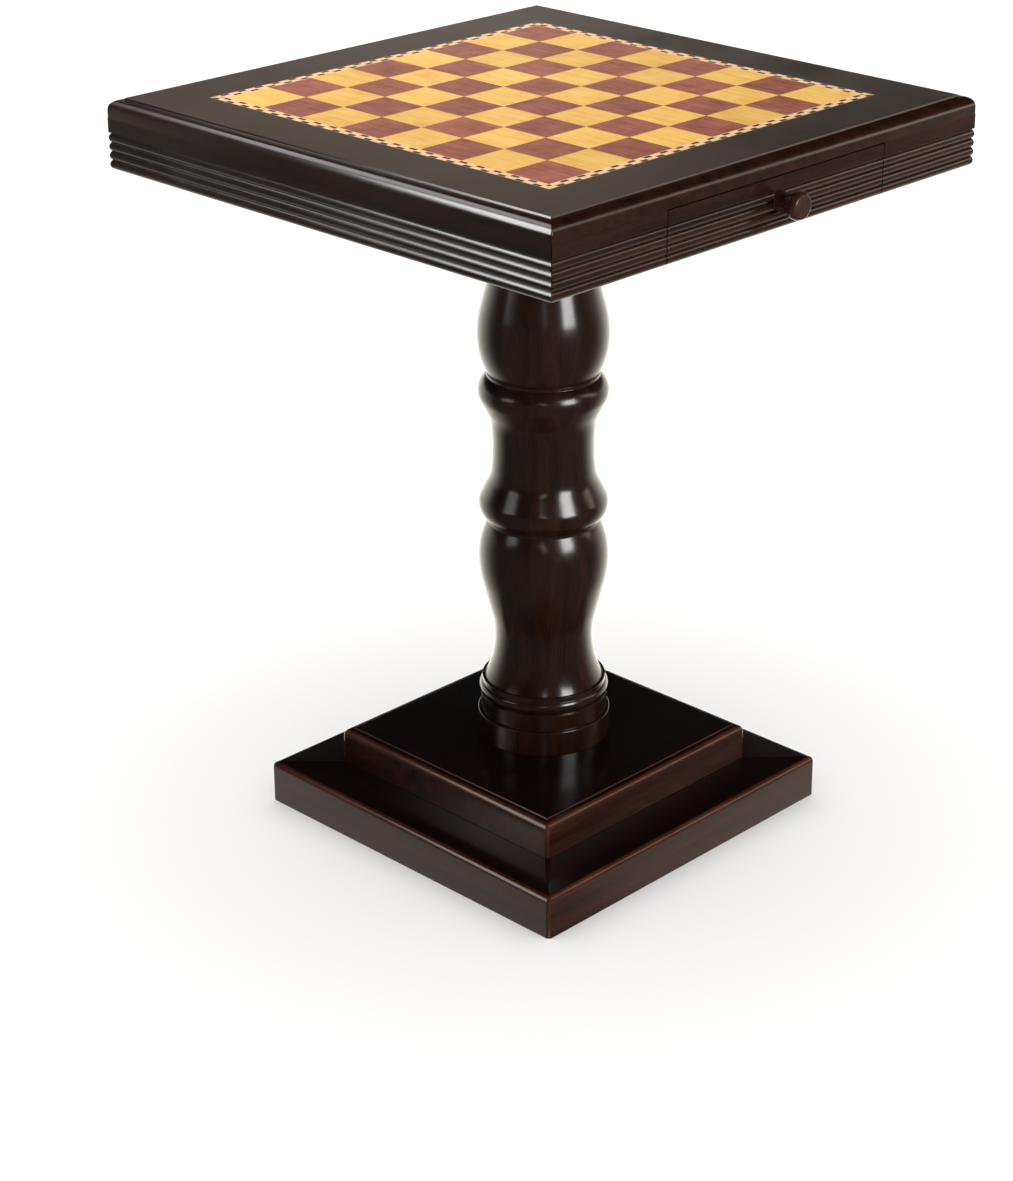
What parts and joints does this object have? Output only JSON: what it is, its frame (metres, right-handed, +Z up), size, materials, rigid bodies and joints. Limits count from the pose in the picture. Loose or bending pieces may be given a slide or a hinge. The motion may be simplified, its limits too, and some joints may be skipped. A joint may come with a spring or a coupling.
{
  "type": "gaming table",
  "caption": "Square pedestal gaming table with an inlaid chessboard top, reeded apron, opposed drawers, turned column and stepped square base.",
  "frame": {"origin": "on the floor under the middle of the table, at the bottom centre of the bounding box", "axes": "+Z up; -Y points to the front player, +Y to the back player; +X is the front player's right"},
  "size_m": [0.5524, 0.6032, 0.7112],
  "materials": {
    "espresso_lacquer": "gloss lacquer over dark stained hardwood",
    "maple_veneer": "clear satin lacquer",
    "rosewood_veneer": "clear satin lacquer",
    "banding_veneer": "clear satin lacquer, light and dark blocks",
    "birch_plywood": "sanded, thin sealer",
    "stained_plywood": "dark stain under a matt sealer",
    "plain_hardwood": "sanded, thin sealer",
    "zinc_plated_steel": "bright zinc plate"
  },
  "bodies": {
    "table": {"top_panel": "espresso_lacquer", "dark_squares": "rosewood_veneer", "light_squares": "maple_veneer", "banding_strips": "banding_veneer", "apron_left": "espresso_lacquer", "apron_right": "espresso_lacquer", "apron_front_left": "espresso_lacquer", "apron_front_right": "espresso_lacquer", "apron_back_left": "espresso_lacquer", "apron_back_right": "espresso_lacquer", "bottom_board": "stained_plywood", "guide_left": "plain_hardwood", "guide_right": "plain_hardwood", "divider_front": "plain_hardwood", "divider_back": "plain_hardwood", "stop_front": "plain_hardwood", "stop_back": "plain_hardwood", "corner_blocks": "plain_hardwood", "column_lower": "espresso_lacquer", "column_middle": "espresso_lacquer", "column_upper": "espresso_lacquer", "column_disc": "espresso_lacquer", "base_block": "espresso_lacquer", "base_rail_front": "espresso_lacquer", "base_rail_right": "espresso_lacquer", "base_rail_back": "espresso_lacquer", "base_rail_left": "espresso_lacquer", "base_core": "birch_plywood", "tie_rod": "zinc_plated_steel", "rod_washer": "zinc_plated_steel", "rod_nuts": "zinc_plated_steel", "top_plate": "zinc_plated_steel", "guide_screws": "zinc_plated_steel", "plate_screws": "zinc_plated_steel", "corner_screws": "zinc_plated_steel", "stop_screws": "zinc_plated_steel", "base_screws": "zinc_plated_steel"},
    "front_drawer": {"front_drawer_face": "espresso_lacquer", "front_drawer_side_left": "plain_hardwood", "front_drawer_side_right": "plain_hardwood", "front_drawer_rear": "plain_hardwood", "front_drawer_floor": "birch_plywood", "front_drawer_knob": "espresso_lacquer", "front_drawer_knob_screw": "zinc_plated_steel"},
    "back_drawer": {"back_drawer_face": "espresso_lacquer", "back_drawer_side_left": "plain_hardwood", "back_drawer_side_right": "plain_hardwood", "back_drawer_rear": "plain_hardwood", "back_drawer_floor": "birch_plywood", "back_drawer_knob": "espresso_lacquer", "back_drawer_knob_screw": "zinc_plated_steel"}
  },
  "joints": [
    {"name": "front_drawer_slide", "type": "slide", "parent": "table", "child": "front_drawer", "axis": [0, -1, 0], "range_m": [0, 0.16]},
    {"name": "back_drawer_slide", "type": "slide", "parent": "table", "child": "back_drawer", "axis": [0, 1, 0], "range_m": [0, 0.16]}
  ]
}
